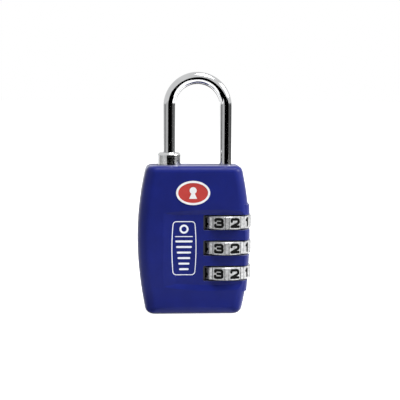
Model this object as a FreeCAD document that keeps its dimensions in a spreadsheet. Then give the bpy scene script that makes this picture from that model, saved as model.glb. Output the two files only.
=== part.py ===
"""Three-dial travel padlock with a key override, as separate working pieces.

Millimetres. The origin is the centre of the flat base at mid depth, +Z is up,
the front faces -Y and the dials stand out on the +X side.
"""
import FreeCAD, Part

import math
import os
import re

import Sketcher
from FreeCAD import Placement, Rotation, Vector

# ---------------------------------------------------------------- driving sizes

SIZES = {
    # case
    "body_height": 39.7,            # base to flat top
    "body_width": 29.9,             # widest, at mid height, without the dials
    "body_depth": 12.0,
    "side_bow": 85.0,               # radius of the barrel-shaped sides
    "side_round": 2.8,              # rounding from the front face to the sides
    "top_round": 1.8,
    "base_round": 2.2,
    "inner_round": 0.3,             # least rounding along the inner top edges
    "shell_wall": 1.2,
    "case_gap": 0.1,                # shell to frame
    # shallow zone around the windows, and the guard pad on the dial side
    "zone_depth": 0.4,
    "zone_left": -8.2,
    "zone_low": 7.6,
    "zone_high": 27.3,
    "zone_bow_low": 1.1,
    "zone_bow_high": 0.9,
    "zone_ledge_low": 0.7,          # width of the sloped ledge below the zone
    "zone_ledge_high": 0.6,
    "zone_ledge_side": 3.2,
    "zone_run_out": 3.0,            # the bowed ledges end past the dial side
    "zone_floor_bow": 0.25,         # share of the bow that is left at the zone's floor
    "pad_low": 6.2,
    "pad_high": 29.4,
    "pad_proud": 0.42,              # how far the guard pad's ends stand out
    "pad_crown": 0.02,              # and its middle
    # badge
    "badge_width": 9.0,
    "badge_height": 6.4,
    "badge_x": -0.4,
    "badge_center": 32.65,          # height
    "badge_depth": 0.6,
    "badge_border": 0.55,
    "badge_rim_proud": 0.12,
    "badge_inlay_proud": 0.05,
    # shackle
    "wire": 3.2,
    "leg_inset": 6.35,              # long leg's axis, from the widest dial side
    "short_leg_x": -6.5,
    "arch_height": 15.6,            # body top to the start of the arch
    "lift": 5.0,                    # shackle travel
    "tip_gap": 0.1,                 # short leg's tip above the body top
    "tip_chamfer": 0.35,
    "leg_tail": 2.5,                # long leg below the lowest fin
    "well_web": 0.5,                # frame under the well of the long leg
    "fin_reach": 3.0,               # from the leg axis
    "fin_width": 1.0,
    "fin_height": 1.6,
    "fin_drop": 0.3,                # fin to the clutch above it, locked
    "bush_width": 5.0,
    "ring_reach": 2.6,
    "ring_seat": 1.3,               # radius of the ring's groove
    "ring_thick": 0.7,
    "ring_mouth": 2.08,
    "chamber_web": 1.25,            # frame between the upper dial and the ring's chamber
    "chamber_room": 0.4,            # round the ring
    "ring_rise": 0.8,               # ring above the floor of its chamber
    "stop_play": 0.05,
    # dials and clutches
    "dial_width": 14.2,             # diameter
    "dial_thick": 3.4,
    "dial_pitch": 6.8,
    "dial_low": 11.1,               # height of the lowest dial's middle
    "dial_flat": 0.17,              # depth of the flat number pads
    "dial_groove": 0.35,
    "dial_chamfer": 0.2,
    "window_gap": 0.35,             # above and below a dial
    "window_reach": 6.25,           # inner end of a window, from the dials' axis
    "window_corner": 0.4,
    "pocket_gap": 0.25,             # round a dial, inside the frame
    "hub_radius": 4.1,              # clutch
    "tooth_reach": 4.75,
    "tooth_width": 1.1,
    "tooth_height": 1.5,
    "clutch_length": 2.2,
    "clutch_gap": 0.1,              # clutch to the web above it
    "mesh_gap": 0.1,                # between clutch teeth and dial notches
    "run_gap": 0.05,                # running clearance of turning and sliding fits
    # key override
    "collar_width": 6.2,
    "collar_height": 3.4,          # above the body top, also the collar's drop
    "collar_edge": 0.85,
    "collar_bore_gap": 0.2,
    "collar_bore_depth": 3.75,
    "collar_web": 4.0,              # frame thickness above the collar's flange
    "flange_width": 7.4,
    "flange_thick": 1.15,
    "stem_width": 3.6,
    "stem_low": 18.8,
    "pin_width": 1.0,
    "pin_height": 20.4,             # cross pin, locked
    "bore_width": 8.0,              # frame bore for cylinder, cam and spring
    "slip_gap": 0.02,               # fixed pieces in the frame bore
    "cylinder_low": 0.3,
    "cylinder_high": 12.8,
    "plug_width": 6.3,
    "plug_head": 6.9,
    "plug_head_thick": 0.85,
    "plug_back": 12.2,
    "tail_width": 3.0,
    "tail_flat": 2.2,
    "cam_rise": 0.2,                # plug to cam
    "cam_floor": 1.8,
    "cam_width": 6.4,
    "cam_bore": 4.1,
    "cam_high": 22.7,
    "cam_slot_gap": 0.25,           # each side of the cross pin
    "sleeve_width": 6.6,            # bore of the cam sleeve
    "sleeve_high": 24.2,
    "sleeve_roof": 1.0,
    "lock_pin": 0.8,
    "housing_pin_z": 8.0,
    "sleeve_pin_z": 14.9,
    "keyway_width": 1.3,
    "keyway_height": 4.8,
    "keyway_end": 11.4,
    "ward_width": 0.7,
    "ward_height": 1.0,
    "wafer_width": 3.0,
    "wafer_thick": 0.5,
    "wafer_first": 2.9,
    "wafer_pitch": 1.7,
    "wafer_count": 5,
    "wafer_gap": 0.06,
    "wafer_window": 1.7,
    "wafer_spring": 0.62,           # outside diameter
    "wafer_wire": 0.14,
    "wafer_spring_gap": 0.1,        # at each end
    "screw_head": 3.0,
    "screw_head_thick": 0.9,
    "screw_wire": 1.4,
    "screw_length": 3.0,            # under its head
    "screw_room": 0.3,              # tapped hole past its tip
    # springs, leaf and posts
    "lift_spring": 2.5,
    "collar_spring": 6.2,
    "clutch_spring": 8.1,
    "fine_wire": 0.35,
    "stout_wire": 0.5,
    "leaf_thick": 0.25,
    "leaf_width": 4.2,
    "leaf_gap": 0.05,
    "leaf_relief": 0.45,
    "leaf_slot": 0.5,
    "finger_cut": 1.0,              # depth of the notches between the leaf's fingers
    "finger_gap": 0.4,
    "post_width": 1.6,
    "post_shift": -0.15,            # from the middle of the web between bore and dials
    "post_low": 4.4,
    "post_mid": 17.7,
    "post_high": 33.4,
    "post_bite": 0.6,               # depth of the post in the back shell
}

doc = FreeCAD.newDocument("travel_padlock")
sheet = doc.addObject("Spreadsheet::Sheet", "Sizes")
for row, (alias, size) in enumerate(SIZES.items(), start=1):
    sheet.set(f"A{row}", alias)
    sheet.set(f"B{row}", str(size))
    sheet.setAlias(f"B{row}", alias)
doc.recompute()


# ------------------------------------------------------- places, as expressions

def cells(text):
    """Return an expression in which every size name points at its cell."""
    def cell(match):
        word = match.group()
        return f"Sizes.{word}" if word in SIZES else word

    return re.sub(r"[a-z_]+", cell, text)


def number(text):
    """Return the value of an expression of size names."""
    return float(sheet.evalExpression(cells(text)))


MID_HEIGHT = "( body_height / 2 )"
LONG_LEG_X = "( body_width / 2 - leg_inset )"
DIAL_LEFT = f"( {LONG_LEG_X} - dial_width / 2 )"
WEB_MIDDLE = f"( ( short_leg_x + bore_width / 2 + {DIAL_LEFT} - pocket_gap ) / 2 )"
FRAME_TOP = "( body_height - shell_wall - case_gap )"
POCKET_HALF = "( dial_thick / 2 + window_gap )"
WEB_ROOF = "( body_height - shell_wall - case_gap - collar_web )"
CHAMBER_FLOOR = f"( dial_low + 2 * dial_pitch + {POCKET_HALF} + chamber_web )"
RING_LOW = f"( {CHAMBER_FLOOR} + ring_rise )"
CHAMBER_ROOF = f"( {RING_LOW} + ring_thick + lift + stop_play )"
CLUTCH_LOW = f"( {POCKET_HALF} - clutch_gap - clutch_length )"
FIN_LOW = f"( {CLUTCH_LOW} - fin_drop - fin_height )"
LEG_END = f"( dial_low + {FIN_LOW} - leg_tail )"
COLLAR_TOP = "( body_height + collar_height )"
FLANGE_LOW = f"( {WEB_ROOF} - run_gap - flange_thick )"
WELL_FLOOR = "( shell_wall + case_gap + well_web )"
CAM_LOW = "( plug_back + cam_rise )"
CAM_SEAT = f"( {CAM_LOW} + cam_floor )"
DIALS = {"lower": 0, "middle": 1, "upper": 2}
TURN_COUNT = {"wafer": 5, "clutch": 3, "lift": 8, "collar": 7}   # of the coil springs
NEAR = 0.01                         # tolerance for finding edges


def dial_z(index):
    """Height of a dial's middle."""
    return f"( dial_low + {index} * dial_pitch )"


# -------------------------------------------------------------- drawing helpers

def bind(feature, bindings):
    """Bind properties of a feature to expressions of size names."""
    for prop, text in bindings.items():
        feature.setExpression(prop, cells(text))


def place(feature, x="0", y="0", z="0"):
    """Move a piece to a place given by expressions."""
    bind(feature, {"Placement.Base.x": x, "Placement.Base.y": y, "Placement.Base.z": z})
    return feature


def new_body(label):
    """Start a PartDesign body."""
    body = doc.addObject("PartDesign::Body", label)
    body.Label = label
    return body


def new_sketch(body, name, plane="XY_Plane", offset="0"):
    """Attach a sketch to one of the body's own origin planes."""
    sketch = body.newObject("Sketcher::SketchObject", name)
    support = next(item for item in body.Origin.OriginFeatures if item.Role == plane)
    sketch.AttachmentSupport = [(support, "")]
    sketch.MapMode = "FlatFace"
    bind(sketch, {"AttachmentOffset.Base.z": offset})
    return sketch


def tie(sketch, kind, index, text, point=1):
    """Hold a sketch point at a bound distance from the origin along X or Y."""
    value = number(text)
    if abs(value) < 1e-9:
        axis = -2 if kind == "DistanceX" else -1
        sketch.addConstraint(Sketcher.Constraint("PointOnObject", index, point, axis))
        return
    if value > 0:
        at = sketch.addConstraint(Sketcher.Constraint(kind, -1, 1, index, point, value))
        sketch.setExpression(f"Constraints[{at}]", cells(text))
        return
    at = sketch.addConstraint(Sketcher.Constraint(kind, index, point, -1, 1, -value))
    sketch.setExpression(f"Constraints[{at}]", cells(f"0 - ({text})"))


def tie_radius(sketch, index, text):
    """Bind the radius of a circle or an arc."""
    at = sketch.addConstraint(Sketcher.Constraint("Radius", index, number(text)))
    sketch.setExpression(f"Constraints[{at}]", cells(text))


def outline(sketch, points):
    """Draw a closed outline through points given as pairs of expressions."""
    spots = [Vector(number(x), number(y), 0) for x, y in points]
    first = sketch.GeometryCount
    for index, spot in enumerate(spots):
        after = spots[(index + 1) % len(spots)]
        sketch.addGeometry(Part.LineSegment(spot, after))
    for index in range(len(spots)):
        after = first + (index + 1) % len(spots)
        sketch.addConstraint(Sketcher.Constraint("Coincident", first + index, 2, after, 1))
    for index, (x, y) in enumerate(points):
        tie(sketch, "DistanceX", first + index, x)
        tie(sketch, "DistanceY", first + index, y)


def circle(sketch, radius, x="0"):
    """Draw a circle on the sketch's X axis, its radius bound to the sheet."""
    center = Vector(number(x), 0, 0)
    index = sketch.addGeometry(Part.Circle(center, Vector(0, 0, 1), number(radius)))
    tie_radius(sketch, index, radius)
    tie(sketch, "DistanceX", index, x, point=3)
    tie(sketch, "DistanceY", index, "0", point=3)


def turned(label, profile):
    """Make a turned piece from a half profile of (radius, height) pairs."""
    body = new_body(label)
    sketch = new_sketch(body, f"{label}_profile", "XZ_Plane")
    outline(sketch, profile)
    turn = body.newObject("PartDesign::Revolution", f"{label}_turn")
    turn.Profile = sketch
    turn.ReferenceAxis = (sketch, ["V_Axis"])
    turn.Angle = 360
    return body


def pad(body, sketch, length):
    """Pad a sketch by a bound length."""
    feature = body.newObject("PartDesign::Pad", f"{sketch.Name}_pad")
    feature.Profile = sketch
    bind(feature, {"Length": length})
    return feature


def pocket(body, sketch, length):
    """Cut a sketch upwards by a bound length."""
    feature = body.newObject("PartDesign::Pocket", f"{sketch.Name}_cut")
    feature.Profile = sketch
    feature.Reversed = True
    bind(feature, {"Length": length})
    return feature


def polar(body, feature, sketch, count):
    """Repeat a feature round the body's Z axis."""
    pattern = body.newObject("PartDesign::PolarPattern", f"{feature.Name}_ring")
    pattern.Originals = [feature]
    pattern.Axis = (sketch, ["N_Axis"])
    pattern.Angle = 360
    pattern.Occurrences = count
    body.Tip = pattern
    return pattern


def cylinder(name, width, length, x="0", y="0", z="0", along="Z"):
    """A bound cylinder of a diameter and length, from a point along an axis."""
    feature = doc.addObject("Part::Cylinder", name)
    bind(feature, {"Radius": f"( {width} ) / 2", "Height": length})
    turns = {"Z": Rotation(), "Y": Rotation(Vector(1, 0, 0), -90), "X": Rotation(Vector(0, 1, 0), 90)}
    feature.Placement = Placement(Vector(), turns[along])
    return place(feature, x, y, z)


def box(name, low, high):
    """A bound box between two corners given as expressions."""
    feature = doc.addObject("Part::Box", name)
    sizes = [f"( {b} ) - ( {a} )" for a, b in zip(low, high)]
    bind(feature, {"Length": sizes[0], "Width": sizes[1], "Height": sizes[2]})
    return place(feature, *low)


def fuse(name, items):
    """Join several solids."""
    feature = doc.addObject("Part::MultiFuse", name)
    feature.Shapes = items
    feature.Refine = True
    return feature


def cut(name, base, tool):
    """Cut a tool out of a base."""
    feature = doc.addObject("Part::Cut", name)
    feature.Base = base
    feature.Tool = tool
    feature.Refine = True
    return feature


def solid(name, shape, x=0.0, y=0.0, z=0.0):
    """A piece whose shape comes from a formula, moved after it is made."""
    feature = doc.addObject("Part::Feature", name)
    feature.Shape = shape
    feature.Placement = Placement(Vector(x, y, z), Rotation()).multiply(shape.Placement)
    return feature


def edge_names(shape, wanted):
    """Names of the edges that a test picks."""
    return [f"Edge{i}" for i, edge in enumerate(shape.Edges, start=1) if wanted(edge)]


def round_edges(body, base, radius, wanted):
    """Fillet the edges of the last feature that a test picks."""
    doc.recompute()
    feature = body.newObject("PartDesign::Fillet", f"{base.Name}_round")
    feature.Base = (base, edge_names(base.Shape, wanted))
    bind(feature, {"Radius": radius})
    return feature


def coil(outside, wire, height, turns):
    """A wire coil standing on Z = 0, from half rings that tilt to and fro and meet smoothly."""
    reach = (outside - wire) / 2
    step = (height - wire) / turns / 2
    tilt = math.degrees(math.atan(step / 2 / reach))
    halves = []
    for index in range(2 * turns):
        way = index % 2
        half = Part.makeTorus(math.hypot(reach, step / 2), wire / 2, Vector(), Vector(0, 0, 1), 0, 360, 180)
        half.rotate(Vector(), Vector(0, 0, 1), 180 * way)
        half.rotate(Vector(), Vector(0, 1, 0), tilt * (1 - 2 * way))
        half.translate(Vector(0, 0, wire / 2 + (index + 0.5) * step))
        halves.append(half)
    return halves[0].multiFuse(halves[1:])


# ------------------------------------------------------------------------- case

def case_form(label, inset):
    """The barrel-shaped block of the case, pulled in all round by an inset."""
    half = number(f"body_width / 2 - ( {inset} )")
    bow = number(f"side_bow - ( {inset} )")
    low = number(inset)
    high = number(f"body_height - ( {inset} )")
    middle = number(MID_HEIGHT)
    edge = half - bow + math.sqrt(bow ** 2 - (middle - low) ** 2)
    body = new_body(label)
    sketch = new_sketch(body, f"{label}_front", "XZ_Plane")
    corners = [Vector(x, z, 0) for x, z in ((-edge, low), (edge, low), (edge, high), (-edge, high))]
    right = Part.Arc(corners[1], Vector(half, middle, 0), corners[2])
    left = Part.Arc(corners[3], Vector(-half, middle, 0), corners[0])
    for line in (Part.LineSegment(*corners[:2]), right, Part.LineSegment(*corners[2:]), left):
        sketch.addGeometry(line)
    for joint in ((0, 2, 1, 1), (1, 2, 2, 1), (2, 2, 3, 1), (3, 2, 0, 1)):
        sketch.addConstraint(Sketcher.Constraint("Coincident", *joint))
    for line in (0, 2):
        sketch.addConstraint(Sketcher.Constraint("Horizontal", line))
    tie(sketch, "DistanceY", 0, inset if low else "0")
    tie(sketch, "DistanceY", 2, f"body_height - ( {inset} )")
    for arc, side in ((1, "body_width / 2 - side_bow"), (3, "side_bow - body_width / 2")):
        tie(sketch, "DistanceX", arc, side, point=3)
        tie(sketch, "DistanceY", arc, MID_HEIGHT, point=3)
        tie_radius(sketch, arc, f"side_bow - ( {inset} )")
    block = pad(body, sketch, f"body_depth - 2 * ( {inset} )")
    block.SideType = "Symmetric"
    level = (low, high)
    sides = round_edges(
        body, block, f"side_round - ( {inset} )",
        lambda edge: abs(abs(edge.CenterOfMass.y) - number("body_depth / 2") + low) < NEAR
        and min(abs(edge.CenterOfMass.z - z) for z in level) > 1,
    )
    top = round_edges(
        body, sides, f"max(inner_round; top_round - ( {inset} ) )",
        lambda edge: abs(edge.CenterOfMass.z - high) < NEAR,
    )
    round_edges(
        body, top, f"base_round - ( {inset} )",
        lambda edge: abs(edge.CenterOfMass.z - low) < NEAR,
    )
    return body


def guard_pad():
    """The straighter pad on the dial side, with its front and back rounded."""
    low, high = number("pad_low"), number("pad_high")
    middle, bow = number(MID_HEIGHT), number("side_bow")
    reach = number("body_width / 2")

    def side(z):
        return reach - bow + math.sqrt(bow ** 2 - (z - middle) ** 2)

    inner = number(LONG_LEG_X)
    depth = number("body_depth - 2 * zone_depth")
    ends = [Vector(side(z) + number("pad_proud"), 0, z) for z in (low, high)]
    crown = Vector(reach + number("pad_crown"), 0, (low + high) / 2)
    wire = Part.Wire([
        Part.LineSegment(Vector(inner, 0, low), ends[0]).toShape(),
        Part.Arc(ends[0], crown, ends[1]).toShape(),
        Part.LineSegment(ends[1], Vector(inner, 0, high)).toShape(),
        Part.LineSegment(Vector(inner, 0, high), Vector(inner, 0, low)).toShape(),
    ])
    block = Part.Face(wire).extrude(Vector(0, depth, 0))
    block.translate(Vector(0, -depth / 2, 0))
    outer = [
        edge for edge in block.Edges
        if edge.CenterOfMass.x > (inner + reach) / 2 and abs(edge.CenterOfMass.y) > depth / 2 - NEAR
    ]
    return solid("guard_pad", block.makeFillet(number("side_round - zone_depth"), outer))


def zone_wire(grow, depth, spread):
    """One outline of the shallow zone, at a depth below the front face."""
    left = number("zone_left") + spread[0]
    low = number("zone_low") + spread[1]
    high = number("zone_high") - spread[2]
    right = number("body_width / 2 + zone_run_out")
    span = right - left
    dip = number("zone_bow_low") * grow
    rise = number("zone_bow_high") * grow
    corners = [Vector(left, depth, low), Vector(right, depth, low)]
    corners += [Vector(right, depth, high), Vector(left, depth, high)]
    bottom = Part.Arc(corners[0], Vector(left + span / 2, depth, low - dip), corners[1])
    top = Part.Arc(corners[2], Vector(left + span / 2, depth, high + rise), corners[3])
    edges = [bottom.toShape(), Part.LineSegment(corners[1], corners[2]).toShape()]
    edges += [top.toShape(), Part.LineSegment(corners[3], corners[0]).toShape()]
    return Part.Wire(edges)


def dial_zone():
    """The shallow zone that is sunk in the front and back, with sloped ledges."""
    face = number("body_depth / 2")
    floor = face - number("zone_depth")
    ledges = [number(f"zone_ledge_{side}") for side in ("side", "low", "high")]
    inner = zone_wire(number("zone_floor_bow"), -floor, ledges)
    slope = Part.makeLoft([inner, zone_wire(1.0, -face, [0, 0, 0])], True, True)
    above = Part.Face(zone_wire(1.0, -face, [0, 0, 0])).extrude(Vector(0, -1, 0))
    front = slope.fuse(above)
    return solid("dial_zone", Part.makeCompound([front, front.mirror(Vector(), Vector(0, 1, 0))]))


def dial_windows():
    """One slot per dial, open at the dial side, with rounded inner corners."""
    tall = number(f"2 * {POCKET_HALF}")
    deep, wide = number("body_depth"), number("body_width")
    left = number(f"{LONG_LEG_X} - window_reach")
    slots = []
    for index in DIALS.values():
        low = number(dial_z(index)) - tall / 2
        slot = Part.makeBox(wide, 2 * deep, tall, Vector(left, -deep, low))
        ends = [
            edge for edge in slot.Edges
            if abs(edge.CenterOfMass.x - left) < NEAR and abs(edge.CenterOfMass.y) < NEAR
        ]
        slots.append(slot.makeFillet(number("window_corner"), ends))
    return solid("dial_windows", Part.makeCompound(slots))


def badge_oval(grow, low, high):
    """An upright oval block on the front, between two heights above the seat."""
    across = number("badge_width") / 2 + grow
    tall = number("badge_height") / 2 + grow
    seat = number("badge_depth") - number("body_depth / 2")
    oval = Part.Ellipse(Vector(0, 0, 0), across, tall)
    face = Part.Face(Part.Wire(oval.toShape()))
    face.rotate(Vector(), Vector(1, 0, 0), 90)
    face.translate(Vector(number("badge_x"), seat - low, number("badge_center")))
    return face.extrude(Vector(0, low - high, 0))


outer_form = fuse("outer_form", [case_form("case_block", "0"), guard_pad()])
cavity_form = case_form("cavity_block", "shell_wall")
case_cuts = fuse("case_cuts", [
    dial_zone(),
    dial_windows(),
    cylinder("collar_hole", "collar_width + 4 * run_gap", "3 * shell_wall", "short_leg_x", "0",
             "body_height - 2 * shell_wall"),
    cylinder("leg_hole", "wire + 8 * run_gap", "3 * shell_wall", LONG_LEG_X, "0",
             "body_height - 2 * shell_wall"),
    cylinder("cylinder_hole", "bore_width + 2 * run_gap", "cylinder_high + shell_wall",
             "short_leg_x", "0", "0 - shell_wall"),
])
whole_shell = cut("whole_shell", cut("hollow_case", outer_form, cavity_form), case_cuts)


def half_space(name, low, high):
    """A block that covers the front or the back half of the case."""
    return box(name, ("0 - body_width", low, "0 - body_depth"),
               ("body_width", high, "body_height + body_depth"))


def posts(name, width, low, high):
    """The front shell's posts, or their holes, along Y."""
    items = []
    for place_name in ("low", "mid", "high"):
        items.append(cylinder(f"{name}_{place_name}", width, f"( {high} ) - ( {low} )",
                              f"{WEB_MIDDLE} + post_shift", low,
                              f"post_{place_name}", along="Y"))
    return items


front_half = doc.addObject("Part::Common", "front_half")
front_half.Base = whole_shell
front_half.Tool = half_space("front_space", "0 - body_depth", "0")
badge_seat = solid("badge_seat", badge_oval(number("slip_gap"), 0, number("2 * badge_depth")))
POST_TIP = "( body_depth / 2 - shell_wall + post_bite )"
POST_ROOT = "( 0.5 * shell_wall - body_depth / 2 )"
front_shell = cut("front_shell", fuse("front_with_posts", [front_half] + posts(
    "post", "post_width", POST_ROOT, f"{POST_TIP} - run_gap")), badge_seat)

back_half = doc.addObject("Part::Common", "back_half")
back_half.Base = whole_shell
back_half.Tool = half_space("back_space", "0", "body_depth")
back_shell = cut("back_shell", back_half, fuse("post_seats", posts(
    "post_seat", "post_width + 2 * slip_gap", "0", POST_TIP)))

badge_rim = solid("badge_rim", badge_oval(0, 0, number("badge_depth + badge_rim_proud")).cut(
    badge_oval(-number("badge_border"), -number("badge_depth"), number("2 * badge_depth"))))
badge_inlay = solid("badge_inlay", badge_oval(
    -number("badge_border"), 0, number("badge_depth + badge_inlay_proud")))


# ------------------------------------------------------------------------ frame

def frame_cuts():
    """Everything that is bored or milled out of the cast frame."""
    tools = [
        cylinder("long_bore", "bore_width", f"{WEB_ROOF} + body_depth", "short_leg_x", "0",
                 "0 - body_depth"),
        cylinder("collar_bore", "collar_width + 2 * run_gap", "body_height", "short_leg_x"),
        cylinder("fin_bore", "2 * fin_reach + 6 * run_gap",
                 f"{CHAMBER_FLOOR} - {dial_z(0)} - {FIN_LOW} + fin_drop", LONG_LEG_X, "0",
                 f"{dial_z(0)} + {FIN_LOW} - fin_drop"),
        cylinder("bush_bore", "bush_width", "body_height", LONG_LEG_X, "0", CHAMBER_ROOF),
        box("fin_way",
            (f"{LONG_LEG_X} - fin_reach - 2 * run_gap", "0 - fin_width / 2 - run_gap", CHAMBER_ROOF),
            (LONG_LEG_X, "fin_width / 2 + run_gap", "2 * body_height")),
        cylinder("leg_well", "wire + 2 * run_gap", f"{dial_z(0)} - {WELL_FLOOR}", LONG_LEG_X, "0",
                 WELL_FLOOR),
        box("ring_chamber",
            (f"{LONG_LEG_X} - ring_reach - chamber_room", "0 - body_depth", CHAMBER_FLOOR),
            (f"{LONG_LEG_X} + ring_reach + chamber_room", "ring_reach + chamber_room", CHAMBER_ROOF)),
        box("leaf_slot_cut",
            (f"{DIAL_LEFT} - 2 * leaf_gap - leaf_thick",
             "0 - leaf_width / 2 - leaf_gap", f"{dial_z(0)} - {POCKET_HALF} - leaf_slot"),
            (f"{DIAL_LEFT} + leaf_gap",
             "leaf_width / 2 + leaf_gap", f"{dial_z(2)} + {POCKET_HALF} + leaf_slot")),
    ]
    for name, index in DIALS.items():
        height = dial_z(index)
        tools.append(cylinder(f"pocket_{name}", "dial_width + 2 * pocket_gap", f"2 * {POCKET_HALF}",
                              LONG_LEG_X, "0", f"{height} - {POCKET_HALF}"))
        tools.append(box(f"relief_{name}",
                         (f"{DIAL_LEFT} - leaf_thick - leaf_relief",
                          "0 - leaf_width / 2 - leaf_gap", f"{height} - dial_thick / 2"),
                         (LONG_LEG_X, "leaf_width / 2 + leaf_gap", f"{height} + dial_thick / 2")))
    tools += posts("post_hole", "post_width + 4 * run_gap", "0 - body_depth", "body_depth")
    tools += lock_pins("pin_hole", "body_depth")
    return fuse("frame_cuts", tools)


def lock_pins(name, half):
    """The two cross pins that hold the cylinder housing and the cam sleeve."""
    items = []
    for part_name in ("housing", "sleeve"):
        items.append(cylinder(f"{name}_{part_name}", "lock_pin", f"2 * ( {half} )",
                              "short_leg_x + bore_width / 2", f"0 - ( {half} )",
                              f"{part_name}_pin_z", along="Y"))
    return items


lock_frame = cut("lock_frame", case_form("frame_block", "shell_wall + case_gap"), frame_cuts())
retaining_pins = fuse("retaining_pins", lock_pins("pin", "body_depth / 2 - shell_wall - 2 * case_gap"))

bush_slot = box("bush_slot",
                (f"{LONG_LEG_X} - fin_reach - run_gap", "0 - fin_width / 2 - run_gap", CHAMBER_ROOF),
                (LONG_LEG_X, "fin_width / 2 + run_gap", "body_height"))
bush_core = cylinder("bush_core", "wire + 2 * run_gap", "body_height", LONG_LEG_X, "0", CHAMBER_ROOF)
leg_bush = cut("leg_bush",
               cylinder("bush_blank", "bush_width - 2 * slip_gap",
                        f"{FRAME_TOP} - {CHAMBER_ROOF}", LONG_LEG_X, "0", CHAMBER_ROOF),
               fuse("bush_cuts", [bush_slot, bush_core]))


def detent_leaf():
    """A flat spring strip with one finger bearing on each dial."""
    back = f"{DIAL_LEFT} - leaf_gap - leaf_thick"
    low = f"{dial_z(0)} - {POCKET_HALF} - leaf_slot + leaf_gap"
    high = f"{dial_z(2)} + {POCKET_HALF} + leaf_slot - leaf_gap"
    strip = box("leaf_strip", (back, "0 - leaf_width / 2", low),
                (f"{back} + leaf_thick", "leaf_width / 2", high))
    notches = []
    for name, index in DIALS.items():
        edge = f"{dial_z(index)} + dial_thick / 2"
        for side, middle in (("front", "0 - leaf_width / 2"), ("rear", "leaf_width / 2")):
            notches.append(box(f"leaf_notch_{name}_{side}",
                               (f"{back} - leaf_thick", f"{middle} - finger_cut", f"{edge} - finger_gap"),
                               (f"{back} + 2 * leaf_thick", f"{middle} + finger_cut", edge)))
    return cut("detent_spring", strip, fuse("leaf_notches", notches))


detent_spring = detent_leaf()


# ---------------------------------------------------------------------- shackle

def shackle():
    """The bent wire, three fins on the long leg, and the stop ring's groove."""
    body = new_body("shackle")
    section = new_sketch(body, "wire_section", offset="body_height + tip_gap")
    circle(section, "wire / 2", "short_leg_x")
    path = new_sketch(body, "wire_path", "XZ_Plane")
    spring_line = number("body_height + arch_height")
    short_x, long_x = number("short_leg_x"), number(LONG_LEG_X)
    reach = (long_x - short_x) / 2
    spots = [
        Vector(short_x, number("body_height + tip_gap"), 0), Vector(short_x, spring_line, 0),
        Vector((short_x + long_x) / 2, spring_line + reach, 0), Vector(long_x, spring_line, 0),
        Vector(long_x, number(LEG_END), 0),
    ]
    path.addGeometry(Part.LineSegment(spots[0], spots[1]))
    path.addGeometry(Part.Arc(*reversed(spots[1:4])))
    path.addGeometry(Part.LineSegment(spots[3], spots[4]))
    path.addConstraint(Sketcher.Constraint("Coincident", 0, 2, 1, 2))
    path.addConstraint(Sketcher.Constraint("Coincident", 2, 1, 1, 1))
    for line in (0, 2):
        path.addConstraint(Sketcher.Constraint("Vertical", line))
    tie(path, "DistanceX", 0, "short_leg_x")
    tie(path, "DistanceY", 0, "body_height + tip_gap")
    tie(path, "DistanceY", 1, "body_height + arch_height", point=3)
    tie(path, "DistanceY", 0, "body_height + arch_height", point=2)
    tie(path, "DistanceY", 2, "body_height + arch_height")
    tie(path, "DistanceX", 2, LONG_LEG_X)
    tie(path, "DistanceY", 2, LEG_END, point=2)
    sweep = body.newObject("PartDesign::AdditivePipe", "wire_sweep")
    sweep.Profile = section
    sweep.Spine = (path, ["Edge1", "Edge2", "Edge3"])
    doc.recompute()
    tips = body.newObject("PartDesign::Chamfer", "tip_chamfers")
    tips.Base = (sweep, edge_names(sweep.Shape, lambda edge: edge.Closed and abs(
        edge.BoundBox.ZLength) < 1e-6 and edge.CenterOfMass.z < number("body_height + 1")))
    bind(tips, {"Size": "tip_chamfer"})
    fin = new_sketch(body, "fin_outline", offset=f"{dial_z(0)} + {FIN_LOW}")
    outline(fin, [(f"{LONG_LEG_X} - fin_reach", "0 - fin_width / 2"), (LONG_LEG_X, "0 - fin_width / 2"),
                  (LONG_LEG_X, "fin_width / 2"), (f"{LONG_LEG_X} - fin_reach", "fin_width / 2")])
    first = pad(body, fin, "fin_height")
    row = body.newObject("PartDesign::LinearPattern", "fin_row")
    row.Originals = [first]
    row.Direction = (fin, ["N_Axis"])
    bind(row, {"Length": "2 * dial_pitch"})
    row.Occurrences = len(DIALS)
    body.Tip = row
    groove = new_sketch(body, "ring_groove", offset=f"{RING_LOW} - slip_gap")
    circle(groove, "wire", LONG_LEG_X)
    circle(groove, "ring_seat", LONG_LEG_X)
    pocket(body, groove, "ring_thick + 2 * slip_gap")
    return body


shackle_body = shackle()
stop_ring = cut("leg_stop_ring",
                cylinder("ring_blank", "2 * ring_reach", "ring_thick", LONG_LEG_X, "0", RING_LOW),
                fuse("ring_cuts", [
                    cylinder("ring_core", "2 * ring_seat", "2 * ring_thick", LONG_LEG_X, "0",
                             f"{RING_LOW} - ring_thick / 2"),
                    box("ring_mouth",
                        (f"{LONG_LEG_X} - ring_mouth / 2", "0 - 2 * ring_reach", f"{RING_LOW} - ring_thick"),
                        (f"{LONG_LEG_X} + ring_mouth / 2", "0", f"{RING_LOW} + 2 * ring_thick"))]))


# ------------------------------------------------------------- dials and clutches

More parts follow.
